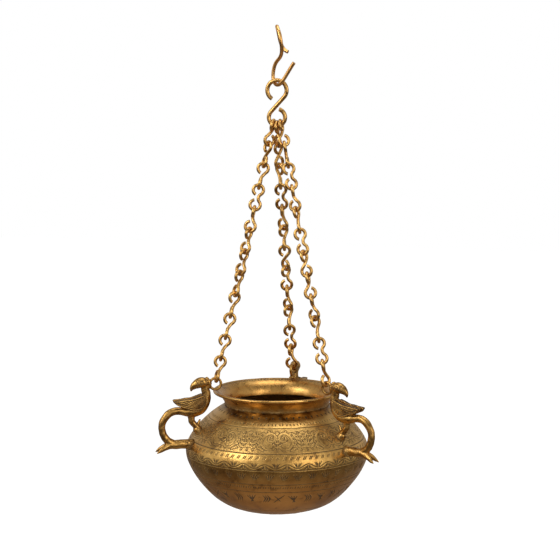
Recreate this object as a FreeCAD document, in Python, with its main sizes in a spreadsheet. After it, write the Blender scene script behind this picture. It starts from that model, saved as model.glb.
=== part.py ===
import FreeCAD, Part

"""Hanging brass bowl: an engraved round pot with a flared collar, three cast bird brackets,
three chains of twelve bent-wire links, an S-link that gathers them, and a bent-wire hook.

Frame: millimetres, +Z up. The origin is the point where the hook rests on whatever it hangs
from, the underside of the hook's crown. One bird bracket lies on +Y, the others 120 degrees
either side of it. The bowl's parts are drawn about the bowl's axis with z = 0 at the rim.
"""

import math
import os

from FreeCAD import Placement, Rotation, Vector

# Driving dimensions, in millimetres and degrees.
SIZES = {
    "rim_drop": 376.3,  # rim plane below the hanging point
    "rim_radius": 67.1,
    "lip_bead_radius": 1.6,
    "collar_height": 14.0,
    "neck_radius": 54.5,
    "mouth_radius": 51.0,
    "base_radius": 30.0,
    "bowl_depth": 123.8,  # rim plane to the flat base
    "bowl_wall": 2.0,
    "ring_station": 66.5,  # bracket ring's centre from the bowl's axis
    "ring_height": 10.6,
    "ring_radius": 5.9,
    "ring_wire": 3.0,
    "link_wire": 3.4,
    "link_length": 26.35,  # along the wire's centreline, eye to eye
    "link_eye": 5.3,
    "link_pinch": 1.75,  # half the distance between strands at a pinched waist
    "gather_wire": 4.4,
    "gather_upper_eye": 10.2,
    "gather_lower_eye": 8.6,
    "gather_eye_gap": 27.8,
    "hook_wire": 3.8,
    "hook_drop": 59.1,  # crown to lower bend, on the wire's centreline
    "chain_spacing": 4.3,  # between chains along the S-link's lower wire
    "outer_chain_lift": 6.0,  # per unit by which a chain leans off the wire's square
    "running_gap": 0.2,
}

BRACKET_ANGLES = {"left": 210.0, "right": -25.5, "rear": 90.0}

# The bowl's outer wall: radius and depth below the rim plane, between its neck and its base.
WALL_STATIONS = [(74.1, 28.0), (88.7, 44.0), (95.9, 62.0), (90.6, 80.0), (78.5, 98.0),
                 (61.6, 114.0)]

# Each link's kind, then the directions in which its upper and its lower eye lie, in degrees
# about the chain from +X. A crossed link is an S, a pinched one has a waist.
CROSSED, PINCHED = "crossed", "pinched"
CHAIN_LINKS = {
    "left": [(CROSSED, 90, 44), (CROSSED, -40, -60), (CROSSED, 18, 100), (PINCHED, 20, 14),
             (CROSSED, 100, 180), (CROSSED, 76, 155), (CROSSED, 65, 155), (CROSSED, 65, 130),
             (CROSSED, 40, 110), (CROSSED, 22, 105), (CROSSED, 18, 102), (CROSSED, 22, 118)],
    "right": [(CROSSED, 90, 34), (CROSSED, 104, 98), (PINCHED, 14, 25), (CROSSED, 105, 170),
              (CROSSED, 78, 102), (PINCHED, 14, -8), (CROSSED, 72, -10), (CROSSED, 92, 14),
              (CROSSED, 98, 159), (CROSSED, 56, 105), (PINCHED, 20, 10), (CROSSED, 278, 240)],
    "rear": [(CROSSED, 90, 132), (CROSSED, 65, 60), (CROSSED, 140, 100), (PINCHED, 20, 14),
             (CROSSED, 98, 155), (CROSSED, 58, 100), (CROSSED, 18, -40), (PINCHED, 60, 20),
             (CROSSED, 100, 150), (CROSSED, 58, 110), (PINCHED, 28, 5), (CROSSED, 85, 180)],
}
# The angles round an eye, from the horizontal, at which the wires' free ends stop.
CROSSED_END, CROSSED_END_PER_TURN, PINCHED_END = 243.0, 0.1, 250.0
GATHER_UPPER_END, GATHER_LOWER_SWEEP = 238.0, 296.0

# The hook's centreline below the hanging point, from its free lower end to its tip.
HOOK_POINTS = [(20.0, -8.4, -34.8), (15.1, -7.6, -42.0), (9.5, -6.6, -50.6), (5.2, -5.2, -55.9),
               (1.2, -1.2, -57.6), (-2.7, 3.3, -56.5), (-5.4, 5.9, -50.8), (-5.1, 5.8, -43.0),
               (-2.5, 4.4, -35.7), (3.4, -0.6, -29.4), (6.5, -6.0, -23.0), (6.6, -9.0, -14.6),
               (4.8, -8.4, -5.7), (1.7, -4.4, 0.3), (0.0, 0.0, 1.9), (-0.7, 4.6, 0.2),
               (-0.3, 8.6, -5.9), (1.3, 9.6, -14.0), (4.3, 9.2, -20.2), (9.6, 7.8, -24.0)]
CHAIN_START = {"left": -1, "right": 1, "rear": 0}  # times the spacing, along the S-link's wire

# The bird's neck, body and tail: radius from the bowl's axis, height over the rim plane, the
# section's half-height in the bird's plane and its half-width across it.
BIRD_SECTIONS = [(78.0, 8.0, 4.0, 4.0), (76.6, 0.5, 4.4, 4.2), (78.6, -7.0, 5.9, 5.4),
                 (84.6, -14.0, 7.0, 6.4), (94.0, -16.6, 4.8, 5.2), (105.5, -15.6, 4.6, 4.2),
                 (116.6, -19.6, 4.3, 3.8), (123.6, -29.4, 3.9, 3.6), (123.2, -38.4, 3.7, 3.5),
                 (118.4, -46.2, 4.0, 3.6), (110.0, -50.6, 4.4, 4.0)]
# The head: radius from the axis, height over the rim, the way it runs in degrees above
# outward, and the section's half-height and half-width.
HEAD_SECTIONS = [(74.0, 11.0, 5, 4.2, 3.8), (78.2, 11.6, 5, 5.8, 5.0), (82.6, 11.6, -4, 6.2, 5.3),
                 (87.0, 10.6, -28, 5.0, 4.4), (90.4, 8.6, -55, 3.4, 3.1), (92.2, 6.4, -70, 1.8, 1.7)]
BIRD_WING = [(80.5, 0.5), (99.0, -3.7), (111.0, -5.2), (109.0, -9.0), (99.0, -13.2),
             (91.0, -15.8), (83.0, -14.0), (78.0, -7.0)]
WING_THICKNESS, WING_OFFSET = 2.4, 4.6


def make_sheet(doc):
    """The spreadsheet of driving dimensions, one alias to a cell."""
    sheet = doc.addObject("Spreadsheet::Sheet", "Sizes")
    for row, (alias, value) in enumerate(SIZES.items(), start=1):
        sheet.set(f"A{row}", alias)
        sheet.set(f"B{row}", str(value))
        sheet.setAlias(f"B{row}", alias)
    doc.recompute()
    return sheet


def sized(obj, **expressions):
    """Binds the object's properties to cells of the sheet."""
    for name, expression in expressions.items():
        obj.setExpression(name, expression)
    return obj


def on_bowl(radius, height):
    """A point of the bowl's XZ half-plane, at a height over the rim plane."""
    return Vector(radius, 0, height)


# ---------------------------------------------------------------- bowl and collar

def body_with_sketch(doc, name):
    body = doc.addObject("PartDesign::Body", name)
    sketch = body.newObject("Sketcher::SketchObject", name + "_profile")
    plane = next(f for f in body.Origin.OriginFeatures if f.Role == "XZ_Plane")
    sketch.AttachmentSupport = [(plane, "")]
    sketch.MapMode = "FlatFace"
    return body, sketch


def revolve(body, sketch):
    feature = body.newObject("PartDesign::Revolution", body.Name + "_turned")
    feature.Profile = sketch
    feature.ReferenceAxis = (sketch, ["V_Axis"])
    feature.Angle = 360.0
    body.Tip = feature
    sized(body, **{"Placement.Base.z": "-Sizes.rim_drop"})
    return body


def wall_points(size):
    """The outer wall from the neck down to the edge of the flat base."""
    neck = (size("neck_radius"), size("collar_height"))
    base = (size("base_radius"), size("bowl_depth"))
    return [Vector(r, -depth, 0) for r, depth in [neck, *WALL_STATIONS, base]]


def wall_curve(points):
    """A smooth curve through the points that runs flat into the base."""
    curve = Part.BSplineCurve()
    curve.interpolate(Points=points, InitialTangent=Vector(0.86, -0.5, 0),
                      FinalTangent=Vector(-1.0, 0, 0))
    return curve


def inner_wall(curve, points, size):
    """The same wall, one thickness in, from the mouth down to the base."""
    inside = []
    for point in points[1:]:
        tangent = curve.tangent(curve.parameter(point))[0]
        normal = Vector(tangent.y, -tangent.x, 0).normalize()
        inside.append(point + normal * size("bowl_wall"))
    mouth = Vector(size("mouth_radius"), -size("collar_height"), 0)
    return wall_curve([mouth, *inside])


def make_bowl(doc, size):
    """The pot's raised and beaten body, without its collar."""
    body, sketch = body_with_sketch(doc, "bowl_body")
    points = wall_points(size)
    outer = wall_curve(points)
    inner = inner_wall(outer, points, size)
    axis_out = Vector(0, -size("bowl_depth"), 0)
    axis_in = axis_out + Vector(0, size("bowl_wall"), 0)
    sketch.addGeometry([
        outer,
        Part.LineSegment(points[-1], axis_out),
        Part.LineSegment(axis_out, axis_in),
        Part.LineSegment(axis_in, inner.value(inner.LastParameter)),
        inner,
        Part.LineSegment(inner.value(inner.FirstParameter), points[0]),
    ], False)
    return revolve(body, sketch)


def make_collar(doc, size):
    """The flared collar, brazed to the neck, with a bead along its lip."""
    body, sketch = body_with_sketch(doc, "rim_collar")
    bead = size("lip_bead_radius")
    lip = Vector(size("rim_radius") - bead, 0, 0)
    neck_out = Vector(size("neck_radius"), -size("collar_height"), 0)
    neck_in = Vector(size("mouth_radius"), -size("collar_height"), 0)
    under = lip + Vector(-0.35, -0.94, 0).normalize() * bead
    above = lip + Vector(-0.45, 0.89, 0).normalize() * bead
    sketch.addGeometry([
        Part.Arc(neck_out, neck_out + Vector(3.4, 7.6, 0), under),
        Part.Arc(under, lip + Vector(bead, 0, 0), above),
        Part.Arc(above, neck_in + Vector(3.9, 9.6, 0), neck_in),
        Part.LineSegment(neck_in, neck_out),
    ], False)
    return revolve(body, sketch)


# ---------------------------------------------------------------- bird brackets

def section(doc, name, centre, along, half_height, half_width):
    """An elliptical section of the bird, square to the direction along its spine."""
    ellipse = doc.addObject("Part::Ellipse", name)
    across, spine = Vector(0, 1, 0), Vector(along).normalize()
    flat = max(half_height, half_width)
    ellipse.MajorRadius, ellipse.MinorRadius = flat, min(half_height, half_width)
    upward = spine.cross(across)
    major = upward if half_height >= half_width else across
    ellipse.Placement = Placement(centre, Rotation(major, spine.cross(major), spine, "ZXY"))
    return ellipse


def loft(doc, name, sections):
    shape = doc.addObject("Part::Loft", name)
    shape.Sections = sections
    shape.Solid, shape.Ruled, shape.Closed = True, False, False
    return shape


def bird_spine(doc):
    """Neck, breast, back and the tail that curls down and round to the bowl."""
    centres = [on_bowl(r, z) for r, z, _, _ in BIRD_SECTIONS]
    sections = []
    for n, (_, _, tall, wide) in enumerate(BIRD_SECTIONS):
        before, after = centres[max(n - 1, 0)], centres[min(n + 1, len(centres) - 1)]
        sections.append(section(doc, f"spine_{n}", centres[n], after - before, tall, wide))
    return loft(doc, "bird_spine", sections)


def bird_head(doc):
    """The head runs out into a heavy hooked beak, with a low crest behind the crown."""
    sections = []
    for n, (station, height, rise, tall, wide) in enumerate(HEAD_SECTIONS):
        along = Vector(math.cos(math.radians(rise)), 0, math.sin(math.radians(rise)))
        sections.append(section(doc, f"head_{n}", on_bowl(station, height), along, tall, wide))
    crest = doc.addObject("Part::Ellipsoid", "bird_crest")
    crest.Radius2, crest.Radius3, crest.Radius1 = 2.6, 4.4, 6.4
    crest.Placement = Placement(on_bowl(75.4, 11.0), Rotation())
    return [loft(doc, "bird_head", sections), crest, ball(doc, "beak_tip", on_bowl(92.0, 6.7), 2.0)]


def bird_wings(doc):
    """Two flat wings, folded against the body."""
    wings = []
    for side, start in (("near", -WING_OFFSET - WING_THICKNESS), ("far", WING_OFFSET)):
        outline = Part.BSplineCurve()
        outline.interpolate(Points=[on_bowl(*p) for p in BIRD_WING], PeriodicFlag=True)
        edge = doc.addObject("Part::Feature", f"wing_outline_{side}")
        edge.Shape = Part.Wire(outline.toShape())
        edge.Placement = Placement(Vector(0, start, 0), Rotation())
        wing = doc.addObject("Part::Extrusion", f"wing_{side}")
        wing.Base, wing.Dir, wing.DirMode = edge, Vector(0, 1, 0), "Custom"
        wing.LengthFwd, wing.Solid = WING_THICKNESS, True
        wings.append(wing)
    return wings


def rod(doc, name, start, end, radius_start, radius_end):
    """A tapered round bar between two points."""
    along = end - start
    bar = doc.addObject("Part::Cone", name)
    bar.Radius1, bar.Radius2, bar.Height = radius_start, radius_end, along.Length
    bar.Placement = Placement(start, Rotation(Vector(0, 0, 1), along))
    return bar


def ball(doc, name, centre, radius):
    knob = doc.addObject("Part::Sphere", name)
    knob.Radius = radius
    knob.Placement = Placement(centre, Rotation())
    return knob


def bird_leg(doc):
    """The leg bends at the ankle and runs down onto the bowl's shoulder; the claw curls up."""
    hip, ankle, foot = on_bowl(92.4, -17.0), on_bowl(92.0, -28.6), on_bowl(81.0, -40.0)
    toe = on_bowl(83.6, -27.4)
    return [rod(doc, "bird_shin", hip, ankle, 3.6, 3.2), ball(doc, "bird_ankle", ankle, 3.4),
            rod(doc, "bird_foot", ankle, foot, 3.2, 3.4),
            rod(doc, "bird_claw", on_bowl(88.4, -32.2), toe, 2.0, 1.3),
            ball(doc, "bird_toe", toe, 1.5)]


def bird_tail_end(doc):
    """The bar that joins the tail to the bowl, and the tail's forked end beyond it."""
    bar_end, bar_root = on_bowl(115.5, -51.2), on_bowl(88.0, -51.4)
    parts = [rod(doc, "tail_bar", bar_root, bar_end, 5.4, 4.2),
             ball(doc, "tail_knuckle", bar_end, 4.4)]
    for side in (-1, 1):
        root = Vector(115.5, side * 1.2, -51.4)
        tip = Vector(130.0, side * 4.4, -58.8)
        parts.append(rod(doc, f"tail_prong_{'near' if side < 0 else 'far'}", root, tip, 3.2, 0.5))
    return parts


def bird_ring(doc):
    """The ring cast on the back of the bird's neck, in the bird's own plane."""
    ring = doc.addObject("Part::Torus", "bird_ring")
    sized(ring, Radius1="Sizes.ring_radius", Radius2="Sizes.ring_wire / 2")
    ring.Placement = Placement(Vector(0, 0, 0), Rotation(Vector(1, 0, 0), 90))
    return sized(ring, **{"Placement.Base.x": "Sizes.ring_station",
                          "Placement.Base.z": "Sizes.ring_height"})


def bowl_envelope(doc, size):
    """The bowl's outer form as one solid, which trims the brackets to its wall."""
    points = wall_points(size)
    outer = wall_curve(points).toShape()
    top, bottom = Vector(0, points[0].y, 0), Vector(0, points[-1].y, 0)
    edges = [outer, Part.makeLine(points[-1], bottom), Part.makeLine(bottom, top),
             Part.makeLine(top, points[0])]
    face = Part.Face(Part.Wire(edges))
    face.rotate(Vector(0, 0, 0), Vector(1, 0, 0), 90)
    envelope = doc.addObject("Part::Feature", "bowl_envelope")
    envelope.Shape = face.revolve(Vector(0, 0, 0), Vector(0, 0, 1), 360)
    return envelope


def make_brackets(doc, size):
    """One bird casting trimmed to the bowl's wall, set at the three bracket angles."""
    parts = [bird_spine(doc), *bird_head(doc), *bird_wings(doc), *bird_leg(doc),
             *bird_tail_end(doc), bird_ring(doc)]
    casting = doc.addObject("Part::MultiFuse", "bird_casting")
    casting.Shapes = parts
    trimmed = doc.addObject("Part::Cut", "bird_trimmed")
    trimmed.Base, trimmed.Tool = casting, bowl_envelope(doc, size)
    doc.recompute()
    brackets = []
    for name, angle in BRACKET_ANGLES.items():
        bracket = doc.addObject("Part::Feature", f"bird_bracket_{name}")
        bracket.Shape = trimmed.Shape.copy()
        bracket.Placement = Placement(Vector(0, 0, -size("rim_drop")),
                                      Rotation(Vector(0, 0, 1), angle))
        brackets.append(bracket)
    return brackets


# ---------------------------------------------------------------- bent wire

def on_eye(height, radius, degrees, azimuth=0.0):
    """A point of an eye's circle: its angle from the horizontal, its plane's azimuth."""
    angle, turn = math.radians(degrees), math.radians(azimuth)
    across = radius * math.cos(angle)
    return Vector(across * math.cos(turn), across * math.sin(turn),
                  height + radius * math.sin(angle))


def eye_arc(height, radius, start, end, azimuth=0.0):
    """The part of an eye's circle from one angle to another."""
    angles = (start, (start + end) / 2, end)
    return Part.Arc(*[on_eye(height, radius, a, azimuth) for a in angles])


def joining_curve(before, after, through=()):
    """A smooth curve from the end of one arc, through any points given, into the next arc."""
    curve = Part.BSplineCurve()
    curve.interpolate(Points=[before.EndPoint, *through, after.StartPoint],
                      InitialTangent=before.tangent(before.LastParameter)[0],
                      FinalTangent=after.tangent(after.FirstParameter)[0])
    return curve


def link_route(kind, upper, lower, size):
    """A link's centreline about its own middle, with its length along Z.

    The upper eye lies in the plane that the direction `upper` makes with Z, the lower one in
    that of `lower`, and the strand between them turns from one plane to the other."""
    radius, pinch = size("link_eye"), size("link_pinch")
    height = size("link_length") / 2 - radius
    if kind == CROSSED:
        lean = math.degrees(math.asin(radius / height))
        end = CROSSED_END + CROSSED_END_PER_TURN * abs(lower - upper)
        above = eye_arc(height, radius, end, -lean, upper)
        below = eye_arc(-height, radius, 180 - lean, 180 + end, lower)
        through = []
    else:
        hollow = (pinch ** 2 + height ** 2 - radius ** 2) / (2 * (radius - pinch))
        lean = math.degrees(math.atan2(height, pinch + hollow))
        above = eye_arc(height, radius, PINCHED_END, -lean, upper)
        below = eye_arc(-height, radius, lean, -PINCHED_END, lower)
        through = [on_eye(0, pinch, 0, (upper + lower) / 2)]
    return [above, joining_curve(above, below, through), below]


def gather_route(size):
    """The S-link's centreline in the XZ plane, about the middle of its upper eye."""
    upper, lower = size("gather_upper_eye"), size("gather_lower_eye")
    gap = size("gather_eye_gap")
    lean = math.degrees(math.asin((upper + lower) / gap))
    above = eye_arc(0, upper, GATHER_UPPER_END, -lean)
    below = eye_arc(-gap, lower, 180 - lean, 180 - lean + GATHER_LOWER_SWEEP)
    return [above, Part.LineSegment(above.EndPoint, below.StartPoint), below]


def hook_route():
    """The hook's centreline, from its free lower end up through the crown to its tip.

    The lower bend holds the S-link and the crown hangs on the support, square to each other."""
    curve = Part.BSplineCurve()
    curve.interpolate(Points=[Vector(*p) for p in HOOK_POINTS])
    return [curve]


def bent_wire(doc, name, route, diameter, placement):
    """A round wire swept along curves that run smoothly into each other."""
    spine = doc.addObject("Part::Feature", name + "_line")
    spine.Shape = Part.Wire([curve.toShape() for curve in route])
    end = doc.addObject("Part::Circle", name + "_end")
    sized(end, Radius=f"Sizes.{diameter} / 2")
    first = route[0]
    start, along = first.value(first.FirstParameter), first.tangent(first.FirstParameter)[0]
    end.Placement = Placement(start, Rotation(Vector(0, 0, 1), along))
    wire = doc.addObject("Part::Sweep", name)
    wire.Sections = [end]
    wire.Spine = (spine, [f"Edge{n}" for n in range(1, len(route) + 1)])
    wire.Solid, wire.Frenet = True, False
    wire.Placement = placement
    return wire


# ---------------------------------------------------------------- suspension

def gather_centre(size):
    """The middle of the S-link's upper eye, which hangs on the hook's lower bend."""
    crown = size("hook_wire") / 2
    bend = crown - size("hook_drop")
    contact = (size("hook_wire") + size("gather_wire")) / 2 + size("running_gap")
    return Vector(0, 0, bend + contact - size("gather_upper_eye"))


def chain_line(name, size):
    """(top, up, reach, play): where a chain's line crosses the S-link's wire, the direction
    up the chain, how far above that point its first eye's wire runs, and the play left at
    each meeting of two wires."""
    eye = gather_centre(size) - Vector(0, 0, size("gather_eye_gap"))
    across = CHAIN_START[name] * size("chain_spacing")
    rise = math.sqrt(size("gather_lower_eye") ** 2 - across ** 2)
    top = eye + Vector(across, 0, -rise)
    angle, station = math.radians(BRACKET_ANGLES[name]), size("ring_station")
    ring = Vector(station * math.cos(angle), station * math.sin(angle),
                  size("ring_height") - size("rim_drop"))
    up = (top - ring).normalize()
    outward = (top - eye).normalize()
    square = math.sqrt(1 - (up.x * outward.z - up.z * outward.x) ** 2)
    wire, count = size("link_wire"), len(CHAIN_LINKS[name])
    reach = (wire + size("gather_wire")) / 2 / square + size("outer_chain_lift") * (1 - square)
    touching = (count - 1) * wire + reach + (wire + size("ring_wire")) / 2
    length = (top - ring).Length - size("ring_radius")
    play = (count * size("link_length") - length - touching) / (count + 1)
    return top, up, reach, play


def link_placements(name, size):
    """Each link's middle and orientation, from the S-link down to the bracket's ring."""
    top, up, reach, play = chain_line(name, size)
    side = Vector(1, 0, 0) - up * up.x
    turned = Rotation(side.normalize(), up.cross(side), up, "ZXY")
    wire, length = size("link_wire"), size("link_length")
    middle = reach + play - length / 2
    placements = []
    for _ in CHAIN_LINKS[name]:
        placements.append(Placement(top + up * middle, turned))
        middle -= length - wire - play
    return placements


def make_suspension(doc, size):
    """The hook, the S-link and the links of the three chains."""
    hook = bent_wire(doc, "hanging_hook", hook_route(), "hook_wire", Placement())
    gather = bent_wire(doc, "s_link", gather_route(size), "gather_wire",
                       Placement(gather_centre(size), Rotation()))
    links = []
    for name, kinds in CHAIN_LINKS.items():
        places = link_placements(name, size)
        for n, ((kind, upper, lower), place) in enumerate(zip(kinds, places), start=1):
            route = link_route(kind, upper, lower, size)
            links.append(bent_wire(doc, f"{name}_link_{n:02d}", route, "link_wire", place))
    return [hook, gather, *links]


# ---------------------------------------------------------------- the whole object

def check(doc, pieces):
    """Stops before anything is written if an object failed or a piece is not one good solid."""
    failed = [o.Name for o in doc.Objects if {"Invalid", "Error"} & set(o.State)]
    bad = [p.Label for p in pieces
           if p.Shape.isNull() or not p.Shape.isValid() or len(p.Shape.Solids) != 1]
    if failed or bad:
        raise SystemExit(f"failed objects {failed}, bad pieces {bad}")


def main():
    doc = FreeCAD.newDocument("hanging_bowl")
    sheet = make_sheet(doc)

    def size(name):
        return float(sheet.get(name))

    pieces = [make_bowl(doc, size), make_collar(doc, size)]
    pieces += make_brackets(doc, size)
    pieces += make_suspension(doc, size)
    for piece in pieces:
        piece.Label = piece.Name
    doc.recompute()
    check(doc, pieces)
    os.makedirs("parts", exist_ok=True)
    for piece in pieces:
        piece.Shape.exportStep(f"parts/{piece.Label}.step")
        print(f"{piece.Label}: {piece.Shape.Volume / 1000:.2f} cm3")


if __name__ == "__main__":
    main()
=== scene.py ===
import math

import bpy
import numpy as np
from mathutils import Matrix, Vector


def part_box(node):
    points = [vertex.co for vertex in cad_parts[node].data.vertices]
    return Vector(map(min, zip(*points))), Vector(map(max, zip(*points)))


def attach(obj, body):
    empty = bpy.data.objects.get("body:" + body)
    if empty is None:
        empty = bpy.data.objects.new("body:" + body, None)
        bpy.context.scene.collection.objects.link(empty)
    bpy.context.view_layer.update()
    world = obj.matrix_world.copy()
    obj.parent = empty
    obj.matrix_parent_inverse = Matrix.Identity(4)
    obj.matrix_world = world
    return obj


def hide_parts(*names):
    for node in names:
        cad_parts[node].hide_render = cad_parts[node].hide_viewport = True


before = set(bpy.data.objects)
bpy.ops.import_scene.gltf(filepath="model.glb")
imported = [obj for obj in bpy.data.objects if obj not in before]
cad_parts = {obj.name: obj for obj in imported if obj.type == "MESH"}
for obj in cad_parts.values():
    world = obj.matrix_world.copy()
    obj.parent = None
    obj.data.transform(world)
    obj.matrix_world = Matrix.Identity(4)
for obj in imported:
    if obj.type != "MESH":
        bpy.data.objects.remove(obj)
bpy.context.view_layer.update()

MM = 0.001
TAU = 2 * math.pi
rng = np.random.default_rng(7)

LIP_BEAD = 1.6
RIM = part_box("rim_collar")[1].z / MM - LIP_BEAD
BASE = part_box("bowl_body")[0].z / MM
BIRD_ANGLES = {"left": 210.0, "right": -25.5, "rear": 90.0}
VIEW_AZIMUTH = 14.0
FRONT = math.radians(VIEW_AZIMUTH - 90.0)

# The bowl's outside as (radius, height from the rim), from the neck to the edge of the flat base.
NECK, FLAT = (54.5, -14.0), (30.0, -123.8)
STATIONS = [(74.1, -28.0), (88.7, -44.0), (95.9, -62.0), (90.6, -80.0), (78.5, -98.0), (61.6, -114.0)]
NECK_INSIDE = (51.0, -14.0)
LIP_RADIUS = 67.1
WALL_THICKNESS = 2.0
NECK_SLOPE, BASE_SLOPE = (0.86, -0.5), (-1.0, 0.0)
BASE_DISH = 0.5

# ------------------------------------------------------------------ meshes


def build_mesh(name, verts, quads, tris, layers=None):
    """A mesh from vertices in millimetres, with one float layer per name in layers."""
    quads = np.asarray(quads, np.int32).reshape(-1, 4)
    tris = np.asarray(tris, np.int32).reshape(-1, 3)
    mesh = bpy.data.meshes.new(name)
    mesh.vertices.add(len(verts))
    mesh.vertices.foreach_set("co", (np.asarray(verts) * MM).astype(np.float32).ravel())
    corners = np.concatenate([quads.ravel(), tris.ravel()])
    mesh.loops.add(len(corners))
    mesh.loops.foreach_set("vertex_index", corners)
    starts = np.concatenate([np.arange(len(quads)) * 4, len(quads) * 4 + np.arange(len(tris)) * 3])
    mesh.polygons.add(len(starts))
    mesh.polygons.foreach_set("loop_start", starts.astype(np.int32))
    mesh.update(calc_edges=True)
    mesh.validate()
    mesh.shade_smooth()
    for layer, values in (layers or {}).items():
        add_layer(mesh, layer, values)
    return mesh


def add_layer(mesh, name, values):
    """One float per vertex, which the materials read by name."""
    layer = mesh.attributes.new(name, "FLOAT", "POINT")
    layer.data.foreach_set("value", values.astype(np.float32).ravel())


def ring_grid(rows, cols, closed=False):
    """Quads over a grid of rings: each row is a ring of cols vertices."""
    index = np.arange(rows * cols).reshape(rows, cols)
    nxt = np.roll(index, -1, axis=1)
    if closed:
        up, up_nxt = np.roll(index, -1, axis=0), np.roll(nxt, -1, axis=0)
        low, low_nxt = index, nxt
    else:
        low, low_nxt, up, up_nxt = index[:-1], nxt[:-1], index[1:], nxt[1:]
    return np.stack([low, low_nxt, up_nxt, up], -1).reshape(-1, 4)


def end_fans(rows, cols):
    """Triangles that close a grid's first and last rings onto the two vertices that follow the grid."""
    index, last, apex = np.arange(cols), (rows - 1) * cols, rows * cols
    first = np.stack([np.roll(index, -1), index, np.full(cols, apex)], -1)
    final = np.stack([last + index, last + np.roll(index, -1), np.full(cols, apex + 1)], -1)
    return np.vstack([first, final])


def turned(grid, angle):
    """Points of a grid of (radius, height from the rim), each column at its angle about the axis."""
    return np.stack([grid[..., 0] * np.cos(angle), grid[..., 0] * np.sin(angle), grid[..., 1] + RIM], -1)


def add_piece(name, mesh, material, replaced):
    """A visible piece on the swinging bowl's body, in place of one CAD node."""
    piece = bpy.data.objects.new(name, mesh)
    bpy.context.scene.collection.objects.link(piece)
    mesh.materials.append(material)
    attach(piece, "pot")
    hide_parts(replaced)


def smooth_noise(shape, cells, seed):
    """Value noise on a grid whose columns wrap, between -1 and 1."""
    rows, cols = shape
    source = np.random.default_rng(seed).uniform(-1, 1, (cells[0] + 2, cells[1]))
    y, x = np.linspace(0, cells[0], rows), np.arange(cols) * cells[1] / cols
    yi, xi = np.floor(y).astype(int), np.floor(x).astype(int)
    fy, fx = (y - yi)[:, None], (x - xi)[None]
    fy, fx = fy * fy * (3 - 2 * fy), fx * fx * (3 - 2 * fx)
    a = source[yi][:, xi] * (1 - fx) + source[yi][:, (xi + 1) % cells[1]] * fx
    b = source[yi + 1][:, xi] * (1 - fx) + source[yi + 1][:, (xi + 1) % cells[1]] * fx
    return a * (1 - fy) + b * fy


# ------------------------------------------------------------------ materials


class Nodes:
    """A small helper that adds and links shader nodes."""

    def __init__(self, tree):
        self.tree = tree
        tree.nodes.clear()

    def add(self, kind, **inputs):
        node = self.tree.nodes.new(kind)
        for key, value in inputs.items():
            self.feed(node.inputs[key.replace("_", " ")], value)
        return node

    def feed(self, socket, value):
        """Links a socket to the input, or sets the input to a plain value."""
        if isinstance(value, bpy.types.NodeSocket):
            self.tree.links.new(value, socket)
        else:
            socket.default_value = value

    def ramp(self, factor, stops):
        """A colour ramp from (position, colour or grey level) stops."""
        node = self.tree.nodes.new("ShaderNodeValToRGB")
        elements = node.color_ramp.elements
        while len(elements) > 1:
            elements.remove(elements[-1])
        elements[0].position, elements[0].color = stops[0][0], grey(stops[0][1])
        for position, colour in stops[1:]:
            elements.new(position).color = grey(colour)
        self.tree.links.new(factor, node.inputs["Fac"])
        return node.outputs["Color"]

    def math(self, operation, a, b, clamp=False):
        node = self.tree.nodes.new("ShaderNodeMath")
        node.operation, node.use_clamp = operation, clamp
        self.feed(node.inputs[0], a)
        self.feed(node.inputs[1], b)
        return node.outputs[0]

    def mix(self, factor, a, b, blend="MIX"):
        node = self.tree.nodes.new("ShaderNodeMix")
        node.data_type, node.blend_type = "RGBA", blend
        self.feed(node.inputs[0], factor)
        for socket, value in ((node.inputs[6], a), (node.inputs[7], b)):
            self.feed(socket, value if isinstance(value, bpy.types.NodeSocket) else grey(value))
        return node.outputs[2]

    def noise(self, place, scale, detail, roughness, distortion=0.0):
        node = self.add("ShaderNodeTexNoise", Vector=place, Scale=scale, Detail=detail,
                        Roughness=roughness, Distortion=distortion)
        return node.outputs["Fac"]


def grey(colour):
    """A colour with alpha, from a colour or one grey level."""
    if isinstance(colour, (int, float)):
        return (colour, colour, colour, 1)
    return (*colour[:3], 1)


REDDENED = (0.92, 0.66, 0.52)
# Dark tarnish with painted shade, for the crease just under the collar.
NECK_TARNISH_AND_SHADE = (0.05, 0.022, 0.008)
CUT_GRIME = (0.035, 0.018, 0.007)
# Dark colour for braze soot, also used as painted shade inside the bowl and in the neck crease.
BRAZE_SOOT_AND_SHADE = (0.045, 0.022, 0.010)
BUMP_DEPTH = 0.0006


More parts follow.
